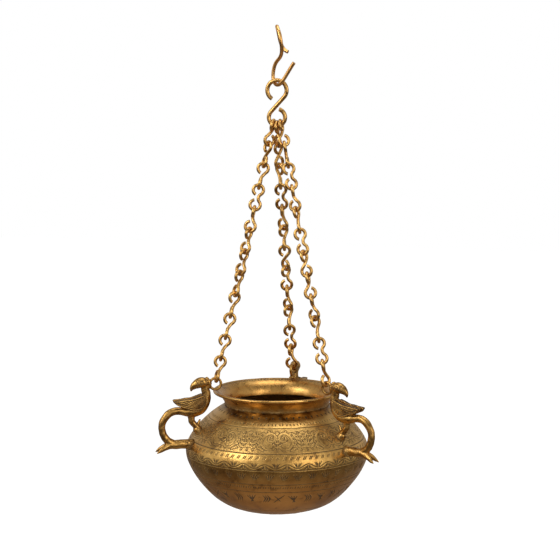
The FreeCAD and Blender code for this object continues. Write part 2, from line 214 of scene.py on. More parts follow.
def brass(name, bright, middle, dark, patina, rough, bump, grain=1.0, zones=False, patina_amount=0.5):
    """Aged brass: mottled colour, dark patina in low places and cuts, dark braze soot and painted shade from a
    vertex layer, a band of tarnish and painted shade at the neck when zones is set, fine scratches and dents.
    """
    material = bpy.data.materials.new(name)
    material.use_nodes = True
    n = Nodes(material.node_tree)
    place = n.add("ShaderNodeTexCoord").outputs["Object"]
    large = n.noise(place, 22 * grain, 3, 0.5, 0.4)
    medium = n.noise(place, 95 * grain, 5, 0.6, 0.3)
    fine = n.noise(place, 620 * grain, 4, 0.6)
    stretched = n.add("ShaderNodeMapping", Vector=place, Scale=(1, 1, 9)).outputs[0]
    scratch = n.noise(stretched, 260 * grain, 3, 0.7, 1.5)
    blotch = n.math("ADD", n.math("MULTIPLY", large, 0.55), n.math("MULTIPLY", medium, 0.45))
    colour = n.ramp(blotch, [(0.34, dark), (0.5, middle), (0.66, bright)])
    worn = n.ramp(scratch, [(0.58, 0.0), (0.74, 1.0)])
    colour = n.mix(n.math("MULTIPLY", worn, 0.18), colour, bright)
    if zones:
        height = n.add("ShaderNodeSeparateXYZ", Vector=place).outputs["Z"]
        wobble = n.math("MULTIPLY", n.math("SUBTRACT", large, 0.5), 0.03)
        share = n.math("MULTIPLY", n.math("SUBTRACT", height, BASE * MM), 1 / (-FLAT[1] * MM))
        level = n.math("ADD", share, n.math("MULTIPLY", wobble, 6.0))
        low = n.ramp(level, [(0.0, 0.95), (0.30, 0.75), (0.50, 0.0)])
        redder = n.mix(1.0, colour, REDDENED, "MULTIPLY")
        colour = n.mix(n.math("MULTIPLY", low, 0.75), colour, redder)
        # Tarnish and painted shade: a dark patchy band in the crease just under the collar.
        neck = n.ramp(level, [(0.855, 0.0), (0.89, 1.0)])
        patchy = n.ramp(medium, [(0.35, 1.0), (0.62, 0.35)])
        colour = n.mix(n.math("MULTIPLY", neck, patchy), colour, NECK_TARNISH_AND_SHADE)
    spots = n.ramp(medium, [(0.30, 1.0), (0.42, 0.0)])
    colour = n.mix(n.math("MULTIPLY", spots, patina_amount), colour, patina)
    cut = n.add("ShaderNodeAttribute")
    cut.attribute_name = "cut"
    grime = n.ramp(cut.outputs["Fac"], [(0.08, 0.0), (0.75, 1.0)])
    colour = n.mix(n.math("MULTIPLY", grime, 0.92), colour, CUT_GRIME)
    # This layer holds dark braze soot and painted shade; both are mixed toward the same dark colour.
    soot_and_shade = n.add("ShaderNodeAttribute")
    soot_and_shade.attribute_name = "soot_and_shade"
    soot_and_shade_amount = n.math("MULTIPLY", soot_and_shade.outputs["Fac"], n.ramp(medium, [(0.25, 1.0), (0.7, 0.45)]), True)
    colour = n.mix(soot_and_shade_amount, colour, BRAZE_SOOT_AND_SHADE)
    dull = n.math("ADD", grime, soot_and_shade_amount, True)
    sheen = n.ramp(n.math("ADD", n.math("MULTIPLY", medium, 0.6), n.math("MULTIPLY", fine, 0.4)),
                   [(0.36, rough[0]), (0.64, rough[1])])
    roughness = n.math("ADD", sheen, n.math("MULTIPLY", dull, 0.3), True)
    metallic = n.math("SUBTRACT", 1.0, n.math("MULTIPLY", dull, 0.45), True)
    small = n.math("ADD", n.math("MULTIPLY", fine, 0.25), n.math("MULTIPLY", scratch, 0.22))
    relief = n.math("ADD", n.math("MULTIPLY", medium, 0.9), small)
    bumped = n.add("ShaderNodeBump", Strength=bump, Distance=BUMP_DEPTH, Height=relief)
    shader = n.add("ShaderNodeBsdfPrincipled", Base_Color=colour, Roughness=roughness, Metallic=metallic,
                   Normal=bumped.outputs[0])
    out = n.add("ShaderNodeOutputMaterial", Surface=shader.outputs[0])
    out.is_active_output = True
    return material


bowl_brass = brass("engraved_brass", (0.76, 0.47, 0.15), (0.61, 0.36, 0.105), (0.42, 0.225, 0.06),
                   (0.16, 0.085, 0.03), rough=(0.26, 0.42), bump=0.30, zones=True)
collar_brass = brass("collar_brass", (0.74, 0.44, 0.14), (0.58, 0.32, 0.09), (0.40, 0.20, 0.055),
                     (0.16, 0.08, 0.03), rough=(0.22, 0.40), bump=0.30)
cast_brass = brass("cast_brass", (0.72, 0.44, 0.13), (0.52, 0.29, 0.08), (0.32, 0.17, 0.05),
                   (0.09, 0.05, 0.02), rough=(0.24, 0.45), bump=0.45, grain=1.4, patina_amount=0.6)
wire_brass = brass("chain_brass", (0.86, 0.55, 0.19), (0.72, 0.42, 0.13), (0.45, 0.24, 0.07),
                   (0.10, 0.05, 0.02), rough=(0.20, 0.40), bump=0.5, grain=1.8, patina_amount=0.55)
hook_brass = brass("hook_brass", (0.88, 0.52, 0.19), (0.78, 0.42, 0.13), (0.55, 0.27, 0.08),
                   (0.22, 0.10, 0.03), rough=(0.24, 0.42), bump=0.4, grain=1.5, patina_amount=0.35)

# ------------------------------------------------------------------ lathe-turned walls with engraving


def clamped_spline(points, first, last, samples=4000):
    """A smooth curve through the points with the given end directions, by length along it."""
    knots = np.array(points, float)
    step = np.linalg.norm(np.diff(knots, axis=0), axis=1)
    count = len(knots)
    system, right = np.zeros((count, count)), np.zeros((count, 2))
    system[0, 0] = system[-1, -1] = 1
    right[0], right[-1] = first, last
    for i in range(1, count - 1):
        system[i, i - 1], system[i, i], system[i, i + 1] = step[i], 2 * (step[i - 1] + step[i]), step[i - 1]
        right[i] = 3 * (step[i - 1] * (knots[i + 1] - knots[i]) / step[i]
                        + step[i] * (knots[i] - knots[i - 1]) / step[i - 1])
    slope = np.linalg.solve(system, right)
    along = np.concatenate([[0], np.cumsum(step)])
    at = np.linspace(0, along[-1], samples)
    span = np.clip(np.searchsorted(along, at, side="right") - 1, 0, count - 2)
    t = ((at - along[span]) / step[span])[:, None]
    h = step[span][:, None]
    return ((2 * t**3 - 3 * t**2 + 1) * knots[span] + (t**3 - 2 * t**2 + t) * h * slope[span]
            + (-2 * t**3 + 3 * t**2) * knots[span + 1] + (t**3 - t**2) * h * slope[span + 1])


def even(points, count):
    """The same path, resampled into count evenly spaced points."""
    length = np.concatenate([[0], np.cumsum(np.linalg.norm(np.diff(points, axis=0), axis=1))])
    at = np.linspace(0, length[-1], count)
    return np.stack([np.interp(at, length, points[:, k]) for k in range(points.shape[1])], -1)


def arc_points(a, b, c, count):
    """Points on the arc from a through b to c."""
    (ax, ay), (bx, by), (cx, cy) = a, b, c
    d = 2 * (ax * (by - cy) + bx * (cy - ay) + cx * (ay - by))
    ux = ((ax**2 + ay**2) * (by - cy) + (bx**2 + by**2) * (cy - ay) + (cx**2 + cy**2) * (ay - by)) / d
    uy = ((ax**2 + ay**2) * (cx - bx) + (bx**2 + by**2) * (ax - cx) + (cx**2 + cy**2) * (bx - ax)) / d
    r = math.hypot(ax - ux, ay - uy)
    t0, t1, t2 = (math.atan2(y - uy, x - ux) for x, y in (a, b, c))
    if not (0 < (t1 - t0) % TAU < (t2 - t0) % TAU):
        t = t0 - np.linspace(0, (t0 - t2) % TAU, count)
    else:
        t = t0 + np.linspace(0, (t2 - t0) % TAU, count)
    return np.stack([ux + r * np.cos(t), uy + r * np.sin(t)], -1)


LINE_WANDER = 0.12
DOT_SPACING = 0.28
CUT_SOFTNESS = 0.22


class Wall:
    """A turned surface as a grid, with engraved strokes and raised leaves drawn on it."""

    def __init__(self, profile, cols):
        self.profile = profile
        self.rows, self.cols = len(profile), cols
        step = np.linalg.norm(np.diff(profile, axis=0), axis=1)
        self.length = np.concatenate([[0], np.cumsum(step)])
        self.step = self.length[-1] / (self.rows - 1)
        self.radius = profile[:, 0]
        self.cut = np.zeros((self.rows, cols))
        self.leaf = np.full((self.rows, cols), -9.0)

    def down(self, depth):
        """Length along the wall at which it is this far below the rim."""
        return float(np.interp(depth, -self.profile[:, 1], self.length))

    def radius_at(self, length):
        return np.interp(length, self.length, self.radius)

    def stamp(self, angle, length, width, raised=False, strength=1.0):
        """Marks every cell near the points; width is one number or one per point."""
        angle, length = np.asarray(angle, float), np.asarray(length, float)
        width = np.broadcast_to(np.asarray(width, float), angle.shape)
        reach = width.max() / 2 + (0.9 if raised else 0.35)
        row, col = length / self.step, angle / TAU * self.cols
        pitch = self.radius_at(length) * TAU / self.cols
        up = int(math.ceil(reach / self.step))
        side = int(math.ceil(reach / pitch.min()))
        di, dj = np.meshgrid(np.arange(-up, up + 1), np.arange(-side, side + 1), indexing="ij")
        i = np.round(row).astype(int)[:, None, None] + di
        j = np.round(col).astype(int)[:, None, None] + dj
        far = np.hypot((i - row[:, None, None]) * self.step, (j - col[:, None, None]) * pitch[:, None, None])
        inside = (i >= 0) & (i < self.rows)
        if raised:
            value = width[:, None, None] / 2 - far
            np.maximum.at(self.leaf, (i[inside], j[inside] % self.cols), value[inside])
        else:
            value = width[:, None, None] / 2 + CUT_SOFTNESS - far
            value = strength * np.clip(value / (2 * CUT_SOFTNESS), 0, 1)
            np.maximum.at(self.cut, (i[inside], j[inside] % self.cols), value[inside])

    def stroke(self, centre, middle, points, width, taper=0.0, raised=False, strength=1.0, flip=1, grow=1.0):
        """A stroke through points (across, down) in millimetres about a spot on the wall."""
        path = np.array(points, float) * grow
        if len(path) > 2:
            path = bend(path)
        long = np.linalg.norm(np.diff(path, axis=0), axis=1).sum()
        path = even(path, max(int(long / DOT_SPACING), 2) + 1)
        t = np.linspace(0, 1, len(path))
        thick = width * (1 - taper * np.abs(2 * t - 1) ** 1.5) if taper >= 0 else width * (1 + taper * t)
        angle = centre + flip * path[:, 0] / self.radius_at(middle)
        self.stamp(angle, middle + path[:, 1], thick, raised, strength)

    def line(self, depth, width, seed, strength=1.0):
        """A line right round, wandering a little as a hand-cut one does."""
        angle = np.linspace(0, TAU, self.cols, endpoint=False)
        drift = smooth_noise((2, self.cols), (1, 40), seed)[0] * LINE_WANDER
        self.stamp(angle, self.down(depth) + drift, width, strength=strength)


def bend(path):
    """A smooth curve through the points of a path."""
    p = np.vstack([2 * path[0] - path[1], path, 2 * path[-1] - path[-2]])
    t = np.linspace(0, 1, 9)[:, None]
    pieces = []
    for a, b, c, d in zip(p[:-3], p[1:-2], p[2:-1], p[3:]):
        pieces.append(0.5 * (2 * b + (c - a) * t + (2 * a - 5 * b + 4 * c - d) * t**2
                             + (3 * b - a - 3 * c + d) * t**3))
    return np.vstack(pieces)


outer_path = clamped_spline([NECK, *STATIONS, FLAT], NECK_SLOPE, BASE_SLOPE)
OUTER_ROWS, BOWL_COLS = 350, 1320
ENGRAVED_TOP, ENGRAVED_BOTTOM = -14.1, -123.0
wall = Wall(even(outer_path, OUTER_ROWS), BOWL_COLS)


def wall_radius(height):
    """Radius of the bowl's outside at a height relative to the rim."""
    return np.interp(-np.clip(height, ENGRAVED_BOTTOM, ENGRAVED_TOP), -outer_path[:, 1], outer_path[:, 0])


def engrave_shoulder():
    """Punched drops under the neck, a row of dashes and a line."""
    for k in range(54):
        at = TAU * (k + rng.uniform(-0.06, 0.06)) / 54
        wall.stroke(at, wall.down(18.2), [(0, -1.1), (0, 1.2)], width=2.0, taper=-0.8)
    for k in range(112):
        at = TAU * (k + rng.uniform(-0.15, 0.15)) / 112
        lean = rng.uniform(-0.25, 0.25)
        wall.stroke(at, wall.down(22.9), [(-lean, -0.9), (lean, 0.9)], width=0.75)
    wall.line(25.9, 0.6, seed=2)


def paisley(at, middle, flip):
    """A big comma scroll with a spiral inside, leaning toward the stem it faces."""
    comma = [(-10.5, 9.5), (-14.5, 5.5), (-15.5, -0.5), (-12.5, -6.5), (-7.0, -9.0), (-2.6, -6.4),
             (-2.2, -1.8), (-5.4, 0.8), (-8.8, -0.8), (-8.6, -4.0)]
    wall.stroke(at, middle, comma, 3.1, 0.4, True, flip=flip)
    wall.stroke(at, middle, [(-10.5, 9.5), (-5.6, 9.6), (-2.6, 6.4), (-4.0, 3.4)], 2.5, 0.5, True, flip=flip)
    wall.stroke(at, middle, [(-6.6, -3.2), (-5.4, -4.4)], 1.7, 0.3, True, flip=flip)
    for dx, dy in ((-18.4, -5.0), (-19.2, 0.0), (-18.4, 4.8), (-15.4, -9.2), (-10.0, -12.0)):
        wall.stroke(at, middle, [(dx * 0.86, dy * 0.86), (dx, dy)], 2.4, 0.6, True, flip=flip)
    wall.stroke(at, middle, [(-12.4, 11.4), (-16.6, 8.6), (-19.0, 9.0)], 2.4, 0.7, True, flip=flip)


def sprig(at, middle, flip, grow):
    """A curved vine stem with pairs of leaves."""
    stem = [(0, 11.0), (2.6, 6.0), (2.0, 0.0), (-1.4, -5.0), (-0.6, -10.6)]
    wall.stroke(at, middle, stem, 1.3, 0.2, True, flip=flip, grow=grow)
    for (x, y), lean in zip([(2.4, 7.4), (2.8, 3.2), (1.0, -1.6), (-1.2, -6.2)], (1, 1, 0.9, 0.8)):
        for leaf in ([(x, y), (x + 3.2, y - 1.4 * lean), (x + 5.4, y - 4.6)],
                     [(x, y), (x - 3.2, y - 0.6), (x - 5.8, y - 3.8)]):
            wall.stroke(at, middle, leaf, 3.0, 0.85, True, flip=flip, grow=grow)


def flower(at, middle, down, size=2.0):
    """Six petals about a spot this far below the band's middle."""
    for k in range(6):
        turn = TAU * k / 6
        dx, dy = math.cos(turn) * size, math.sin(turn) * size
        wall.stroke(at, middle, [(dx * 0.45, down + dy * 0.45), (dx, down + dy)], 1.5, 0.3, True)


def engrave_flowers():
    """Raised scrolls and leaves on a hatched ground, between two lines."""
    units = 9
    middle = (wall.down(27.0) + wall.down(47.2)) / 2
    for k in range(units):
        at = FRONT + TAU * (k + rng.uniform(-0.01, 0.01)) / units
        for flip in (-1, 1):
            paisley(at, middle, flip)
            sprig(at + flip * 23.0 / wall.radius_at(middle), middle, flip, 0.98)
        wall.stroke(at, middle, [(0, 11.5), (0.3, 4), (-0.2, -3), (0, -9.5)], 1.0, 0.1, True)
        for down in (8.0, 3.6, -1.0):
            petal = [(0, down), (1.6, down - 1.4), (1.9, down - 3.8)]
            for flip in (-1, 1):
                wall.stroke(at, middle, petal, 2.1, 0.75, True, flip=flip)
        flower(at, middle, -9.4)
        half = at + TAU / units / 2
        flower(half, middle, 2.6, 2.6)
        wall.stroke(half, middle, [(0, 4.6), (0.4, 11.2)], 0.9, 0.1, True)
        wall.stroke(half, middle, [(-5.2, -9.4), (0, -4.6), (5.2, -9.4)], 2.2, 0.6, True)
        flower(half, middle, -9.6, 1.5)
    top, bottom = wall.down(26.6), wall.down(47.6)
    inside = ((wall.length > top) & (wall.length < bottom))[:, None]
    leaf = wall.leaf
    outline = np.exp(-((leaf + 0.15) / 0.32) ** 2)
    second = 0.55 * np.exp(-((leaf - 0.95) / 0.18) ** 2)
    angle = np.arange(wall.cols)[None] * TAU / wall.cols
    sway = smooth_noise(leaf.shape, (14, 90), 5)
    hatch = 0.5 + 0.5 * np.sin(angle * 440 + wall.length[:, None] * 2.1 + sway * 3.5)
    pecks = np.clip(smooth_noise(leaf.shape, (150, 560), 9) * 1.5, 0, 1)
    ground = np.clip(0.10 + 0.42 * hatch * (0.6 + 0.4 * sway) + 0.25 * pecks, 0, 1) * (leaf < -0.4)
    drawn = np.maximum(np.maximum(outline, second), ground * 0.8)
    wall.cut = np.maximum(wall.cut, np.where(inside, drawn, 0))
    wall.line(48.1, 0.7, seed=3)


def engrave_vine():
    """A row of paired slanting cuts, a waving stem with tufts of leaves, and a line."""
    middle = wall.down(60.2)
    for k in range(86):
        at = TAU * (k + rng.uniform(-0.05, 0.05)) / 86
        for shift in (-0.8, 0.8):
            wall.stroke(at, wall.down(52.0), [(shift + 0.9, -1.5), (shift - 0.9, 1.5)], 0.65)
    waves = 27
    angle = np.linspace(0, TAU, 2600, endpoint=False)
    wall.stamp(angle, middle + 2.1 * np.sin(angle * waves), 0.6)
    for k in range(waves * 2):
        at = TAU * (k + 0.5) / (waves * 2)
        side = 1 if k % 2 == 0 else -1
        for lean in (-2.6, -1.2, 1.4, 3.0):
            leaf = [(lean * 0.35, side * 1.2), (lean * 0.9, -side * 1.6), (lean * 1.5, -side * 3.4)]
            wall.stroke(at, middle, leaf, 0.85, 0.7)
    wall.line(64.4, 0.7, seed=4)


def engrave_belly():
    """Tufts under the vine, a row of ticks between lines, and loose groups of strokes down to the base."""
    for k in range(40):
        at = TAU * (k + rng.uniform(-0.12, 0.12)) / 40
        tip = rng.uniform(-1.4, 1.4)
        for lean in (-3.6, -1.2, 1.2, 3.6)[rng.integers(0, 2):]:
            reach = 4.2 - abs(lean) * 0.35
            blade = [(lean * 0.3, 3.6), (lean * 0.8 + tip * 0.3, 0.2), (lean * 1.35 + tip, -reach)]
            wall.stroke(at, wall.down(71.2), blade, 1.1, 0.7)
    wall.line(79.9, 0.65, seed=5)
    for k in range(220):
        at = TAU * (k + rng.uniform(-0.15, 0.15)) / 220
        wall.stroke(at, wall.down(83.3), [(0.25, -1.0), (-0.25, 1.0)], 0.7)
    wall.line(89.0, 0.65, seed=6)
    count = 34
    for k in range(count):
        at = TAU * (k + rng.uniform(-0.12, 0.12)) / count
        middle = wall.down(97.4) + rng.uniform(-0.8, 0.8)
        kind = (k * 7 + k // 5) % 3
        turn = rng.uniform(-1.2, 1.2)
        if kind == 0:
            for lean in (-5, -2.4, 0.4, 3.2):
                blade = [(-lean * 0.5 - turn, 5.4), (lean * 0.3, 0.2), (lean * 1.1 + turn, -5.8)]
                wall.stroke(at, middle, blade, 1.35, 0.7)
        elif kind == 1:
            for shift in (-2.2, 0.0, 2.4):
                chevron = [(shift - 1.9 + turn, -6.0), (shift + 1.0, -0.4), (shift - 1.2 - turn, 5.6)]
                wall.stroke(at, middle, chevron, 1.35, 0.7)
        else:
            wall.stroke(at, middle, [(-5.0, 6.0), (0.4 + turn, 0.4), (5.8, -5.8)], 1.35, 0.6)
            wall.stroke(at, middle, [(-4.0, -4.4), (-1.2, -0.6 + turn), (2.0, 4.4)], 1.2, 0.6)
    wall.line(113.4, 0.65, strength=0.8, seed=7)


def scratch_all():
    """Faint tool marks and wear over the whole wall."""
    for _ in range(330):
        at, depth = rng.uniform(0, TAU), rng.uniform(16, 121)
        long, tilt = rng.uniform(3, 15), rng.uniform(-0.5, 0.5)
        mark = [(-long / 2, -long * tilt / 2), (0, rng.uniform(-0.4, 0.4)), (long / 2, long * tilt / 2)]
        wall.stroke(at, wall.down(depth), mark, 0.3, strength=rng.uniform(0.08, 0.26))


engrave_shoulder()
engrave_flowers()
engrave_vine()
engrave_belly()
scratch_all()


def ridge(value, centre, width):
    """A smooth bump of height 1 about centre."""
    return np.exp(-(((value - centre) / width) ** 2))


def outward(profile):
    """Unit normals of a profile, to the right of its direction of travel."""
    along = np.gradient(profile, axis=0)
    along /= np.linalg.norm(along, axis=1)[:, None]
    return np.stack([-along[:, 1], along[:, 0]], -1)


CUT_DEPTH = 0.34
# How dark the bowl's inside and its floor are painted: painted shade.
INSIDE_PAINTED_SHADE = 0.75


def make_bowl():
    """The closed shell: dished base, engraved outside, edge at the neck, plain inside and its floor, with painted
    shade on the inside.
    """
    cols = wall.cols
    normal = outward(wall.profile)
    dents = (0.16 * smooth_noise((wall.rows, cols), (9, 34), 21)
             + 0.07 * smooth_noise((wall.rows, cols), (22, 90), 22))
    fade = np.clip(np.minimum(wall.length, wall.length[-1] - wall.length) / 6, 0, 1)[:, None]
    push = dents * fade - CUT_DEPTH * wall.cut - 0.02
    outer = wall.profile[:, None] + normal[:, None] * push[..., None]
    inner_knots = [NECK_INSIDE]
    for station in [*STATIONS, FLAT]:
        near = np.argmin(np.linalg.norm(wall.profile - station, axis=1))
        inner_knots.append(tuple(np.array(station) - normal[near] * WALL_THICKNESS))
    inner = even(clamped_spline(inner_knots, NECK_SLOPE, BASE_SLOPE), 76)
    dish = [(r, FLAT[1] + BASE_DISH * (1 - (r / FLAT[0]) ** 4)) for r in np.linspace(1.2, 29.6, 12)]
    under = np.array(dish)
    floor = np.array([(r, inner[-1, 1]) for r in np.linspace(inner[-1, 0] - 2, 1.2, 8)])
    throat = np.array([(53.6, -13.9), (52.0, -13.9)])

    def rings(profile):
        return np.repeat(profile[:, None], cols, axis=1)

    hammered = 0.10 * smooth_noise((len(inner), cols), (max(len(inner) // 4, 2), 60), 31)[..., None]
    sections = [rings(under), outer[::-1], rings(throat), rings(inner) + hammered, rings(floor)]
    cuts = [np.zeros(s.shape[:2]) for s in sections]
    cuts[1] = wall.cut[::-1]
    grid = np.concatenate(sections)
    skin = turned(grid, np.arange(cols) * TAU / cols).reshape(-1, 3)
    poles = [[0, 0, FLAT[1] + BASE_DISH + RIM], [0, 0, inner[-1, 1] + RIM]]
    shade = [np.zeros(s.shape[:2]) for s in sections]
    # The throat, the inside wall and the inside floor are painted dark: painted shade.
    shade[2][:], shade[3][:], shade[4][:] = 0.7, INSIDE_PAINTED_SHADE, INSIDE_PAINTED_SHADE
    layers = {"cut": np.append(np.concatenate(cuts).ravel(), [0, 0]),
              "soot_and_shade": np.append(np.concatenate(shade).ravel(), [0, INSIDE_PAINTED_SHADE])}
    rows = len(grid)
    return build_mesh("bowl", np.vstack([skin, poles]), ring_grid(rows, cols), end_fans(rows, cols), layers)


add_piece("engraved_bowl", make_bowl(), bowl_brass, "bowl_body")


def make_collar():
    """The flared collar with its lip bead, engraved lines and the rough brazed seam at the neck, with tarnish and
    painted shade in patches over the crease.
    """
    lip = np.array([LIP_RADIUS - LIP_BEAD, 0.0])
    neck_out, neck_in = np.array(NECK), np.array(NECK_INSIDE)
    under = lip + np.array([-0.35, -0.94]) * LIP_BEAD
    above = lip + np.array([-0.45, 0.89]) * LIP_BEAD
    outside = arc_points(neck_out, neck_out + (3.4, 7.6), under, 50)
    bead = arc_points(under, lip + (LIP_BEAD, 0), above, 16)[1:-1]
    inside = arc_points(above, neck_in + (3.9, 9.6), neck_in, 64)
    profile = np.vstack([outside, bead, inside, [(52.8, -14.0)]])
    cols = 1080
    face = Wall(inside, cols)
    angle = np.linspace(0, TAU, cols, endpoint=False)
    for at, seed in ((1.5, 41), (3.1, 42)):
        face.stamp(angle, at + 0.1 * smooth_noise((2, cols), (1, 30), seed)[0], 0.55, strength=0.9)
    for k in range(120):
        face.stroke(TAU * (k + rng.uniform(-0.1, 0.1)) / 120, 2.3, [(-0.45, 0), (0.45, 0)], 0.5, strength=0.8)
    for _ in range(90):
        long, at, down = rng.uniform(3, 10), rng.uniform(0, TAU), rng.uniform(4, 15)
        mark = [(-long / 2, rng.uniform(-1, 1)), (long / 2, rng.uniform(-1, 1))]
        face.stroke(at, down, mark, 0.3, strength=0.2)
    rows = len(profile)
    cut = np.zeros((rows, cols))
    cut[len(outside) + len(bead):-1] = face.cut
    closed = np.vstack([profile[-1:], profile, profile[:1]])
    along = closed[2:] - closed[:-2]
    along /= np.linalg.norm(along, axis=1)[:, None]
    normal = np.stack([along[:, 1], -along[:, 0]], -1)
    lumps = smooth_noise((rows, cols), (20, 150), 51)
    on_outside = (np.arange(rows) < len(outside))[:, None]
    seam = ridge(profile[:, 1], -13.4, 1.1)[:, None] * on_outside
    wobble = 0.10 * smooth_noise((rows, cols), (8, 40), 52)
    push = wobble - 0.28 * cut + seam * (0.45 + 0.75 * lumps) - 0.03
    grid = profile[:, None] + normal[:, None] * push[..., None]
    skin = turned(grid, angle).reshape(-1, 3)
    soot_and_shade = np.clip(seam * 2.4, 0, 1) * (0.9 + 0.35 * lumps)
    # Tarnish and painted shade: the collar's outside darkened in patches just above the neck crease.
    crease_tarnish_and_shade = ridge(profile[:, 1], -11.0, 2.2)[:, None] * on_outside
    patches = 0.35 + 0.5 * smooth_noise((rows, cols), (9, 70), 53)
    soot_and_shade = np.clip(np.maximum(soot_and_shade, crease_tarnish_and_shade * patches), 0, 1)
    quads = ring_grid(rows, cols, closed=True)[:, ::-1]
    return build_mesh("collar", skin, quads, [], {"cut": cut, "soot_and_shade": soot_and_shade})


add_piece("engraved_collar", make_collar(), collar_brass, "rim_collar")

# ------------------------------------------------------------------ bird brackets


POLE_STEP = 0.02


def tube(path, tall, wide, rows, sides=28):
    """A closed sweep of elliptical rings; path points are (station, side, height)."""
    knots = np.column_stack([np.array(path, float), tall, wide])
    knots = even(bend(knots) if len(knots) > 2 else knots, rows)
    centre, tall, wide = knots[:, :3], knots[:, 3], knots[:, 4]
    along = np.gradient(centre, axis=0)
    along /= np.linalg.norm(along, axis=1)[:, None]
    turn = np.linspace(0, math.pi / 2, 7)[1:-1]
    centres, sizes, ways = [], [], []
    for a in turn[::-1]:
        centres.append(centre[0] - along[0] * tall[0] * math.sin(a))
        sizes.append((tall[0] * math.cos(a), wide[0] * math.cos(a)))
        ways.append(along[0])
    centres += list(centre)
    sizes += list(zip(tall, wide))
    ways += list(along)
    for a in turn:
        centres.append(centre[-1] + along[-1] * tall[-1] * math.sin(a))
        sizes.append((tall[-1] * math.cos(a), wide[-1] * math.cos(a)))
        ways.append(along[-1])
    lateral = np.array([0.0, 1.0, 0.0])
    angle = np.arange(sides) * TAU / sides
    verts = []
    for c, (t, w), way in zip(centres, sizes, ways):
        across = lateral - way * (lateral @ way)
        across /= np.linalg.norm(across)
        rise = np.cross(across, way)
        verts.append(c + np.outer(np.cos(angle) * t, rise) + np.outer(np.sin(angle) * w, across))
    count = len(verts)
    poles = [[centres[0] - ways[0] * tall[0] * POLE_STEP], [centres[-1] + ways[-1] * tall[-1] * POLE_STEP]]
    return np.vstack(verts + poles), ring_grid(count, sides), end_fans(count, sides)


def torus(centre, radius, wire, rows=72, sides=20):
    """The chain ring at the back of the head, in the bracket's own upright plane."""
    turn, angle = np.arange(rows)[:, None] * TAU / rows, np.arange(sides) * TAU / sides
    reach = radius + wire * np.cos(angle)[None]
    across = np.repeat(wire * np.sin(angle)[None], rows, 0)
    verts = np.stack([centre[0] + reach * np.cos(turn), centre[1] + across,
                      centre[2] + reach * np.sin(turn)], -1)
    return verts.reshape(-1, 3), ring_grid(rows, sides, closed=True)[:, ::-1], np.zeros((0, 3), int)


WING = [(80.5, 0.5), (90.0, -2.6), (99.0, -3.7), (105.5, -4.4), (111.0, -5.2), (109.0, -9.0), (104.5, -11.4),
        (99.0, -13.2), (91.0, -15.8), (83.0, -14.6), (78.4, -9.0), (78.2, -3.0)]


def wing_slab(side):
    """A slab with the wing's outline, thick enough to round off when it is merged."""
    ring = bend(np.array(WING + WING[:1], float))[:-1]
    centre = ring.mean(0)
    shells = []
    for shrink, out in ((0.0, 2.0), (1.0, 2.0), (1.0, 6.0), (0.93, 6.9), (0.6, 7.5), (0.0, 7.9)):
        shells.append([(centre[0] + (x - centre[0]) * shrink, side * out,
                        centre[1] + (z - centre[1]) * shrink) for x, z in ring])
    body = np.array([p for shell in shells[1:-1] for p in shell])
    verts = np.vstack([body, [shells[0][0]], [shells[-1][0]]])
    rows = len(shells) - 2
    quads, tris = ring_grid(rows, len(ring)), end_fans(rows, len(ring))
    if side < 0:
        return verts, quads, tris
    return verts, quads[:, ::-1], tris[:, ::-1]


# Tubes along the bird's middle: points (station, height), half heights, half widths and rows.
BIRD_TUBES = [
    # neck, breast and back, then the tail's curl down to the bar
    ([(78.0, 10.0), (77.2, 4.6), (76.4, 0.0), (78.2, -7.0), (83.6, -13.6), (91.0, -17.0), (99.0, -17.2),
      (107.0, -16.0), (113.6, -17.2), (119.2, -21.4), (123.0, -27.6), (123.6, -33.8), (122.0, -40.4),
      (118.0, -46.4), (112.4, -50.2), (106.0, -51.4)],
     [4.2, 4.4, 4.8, 6.2, 7.4, 6.4, 4.6, 4.0, 4.1, 4.0, 3.7, 3.7, 3.9, 4.1, 4.4, 4.6],
     [4.4, 4.4, 4.8, 5.8, 6.6, 6.0, 4.8, 4.1, 3.8, 3.7, 3.5, 3.5, 3.6, 3.7, 4.0, 4.2], 120),
    # head and hooked beak
    ([(73.6, 11.2), (77.0, 12.2), (81.6, 12.6), (85.8, 11.4), (89.2, 9.4), (91.6, 6.8), (92.3, 4.9)],
     [3.2, 5.0, 5.6, 5.0, 3.9, 2.4, 1.1], [3.2, 4.9, 5.5, 4.8, 3.6, 2.1, 1.0], 50),
    # crest
    ([(73.4, 8.0), (73.6, 12.6), (75.4, 16.6)], [2.4, 2.6, 1.7], [3.4, 3.9, 2.6], 24),
    # thigh, shank and claw
    ([(93.6, -16.0), (92.6, -22.0), (91.8, -28.0)], [4.4, 3.8, 3.4], [4.0, 3.4, 3.1], 24),
    ([(92.2, -27.6), (87.8, -33.0), (82.4, -38.8)], [3.3, 3.3, 4.0], [3.1, 3.3, 4.6], 24),
    ([(88.6, -32.4), (85.2, -30.4), (83.2, -26.6)], [2.1, 1.7, 0.9], [2.2, 1.7, 0.9], 24),
    # tail bar
    ([(87.0, -51.8), (97.0, -51.2), (108.0, -51.2), (115.6, -51.6)],
     [5.6, 5.0, 4.9, 4.2], [6.0, 5.0, 4.6, 4.4], 30),
    # lumps of brazing under the foot and the bar
    ([(84.0, -39.0), (86.5, -36.8)], [5.0, 4.0], [6.4, 4.6], 12),
    ([(91.0, -53.0), (93.6, -51.6)], [6.6, 5.8], [7.6, 6.2], 12),
]
VOXEL = 0.42


def bird_parts():
    """Every part of one bracket, overlapping, as (vertices, quads, triangles)."""
    parts = [tube([(x, 0.0, z) for x, z in points], tall, wide, rows)
             for points, tall, wide, rows in BIRD_TUBES]
    parts += [torus((66.5, 0.0, 10.6), 5.9, 1.5), wing_slab(-1), wing_slab(1)]
    for side in (-1, 1):
        prong = [(115.0, side * 1.0, -51.6), (121.0, side * 2.6, -53.6), (126.2, side * 3.8, -56.6),
                 (129.6, side * 4.4, -58.6)]
        parts.append(tube(prong, [3.8, 3.0, 2.0, 0.5], [3.0, 2.4, 1.5, 0.5], 30))
    return parts


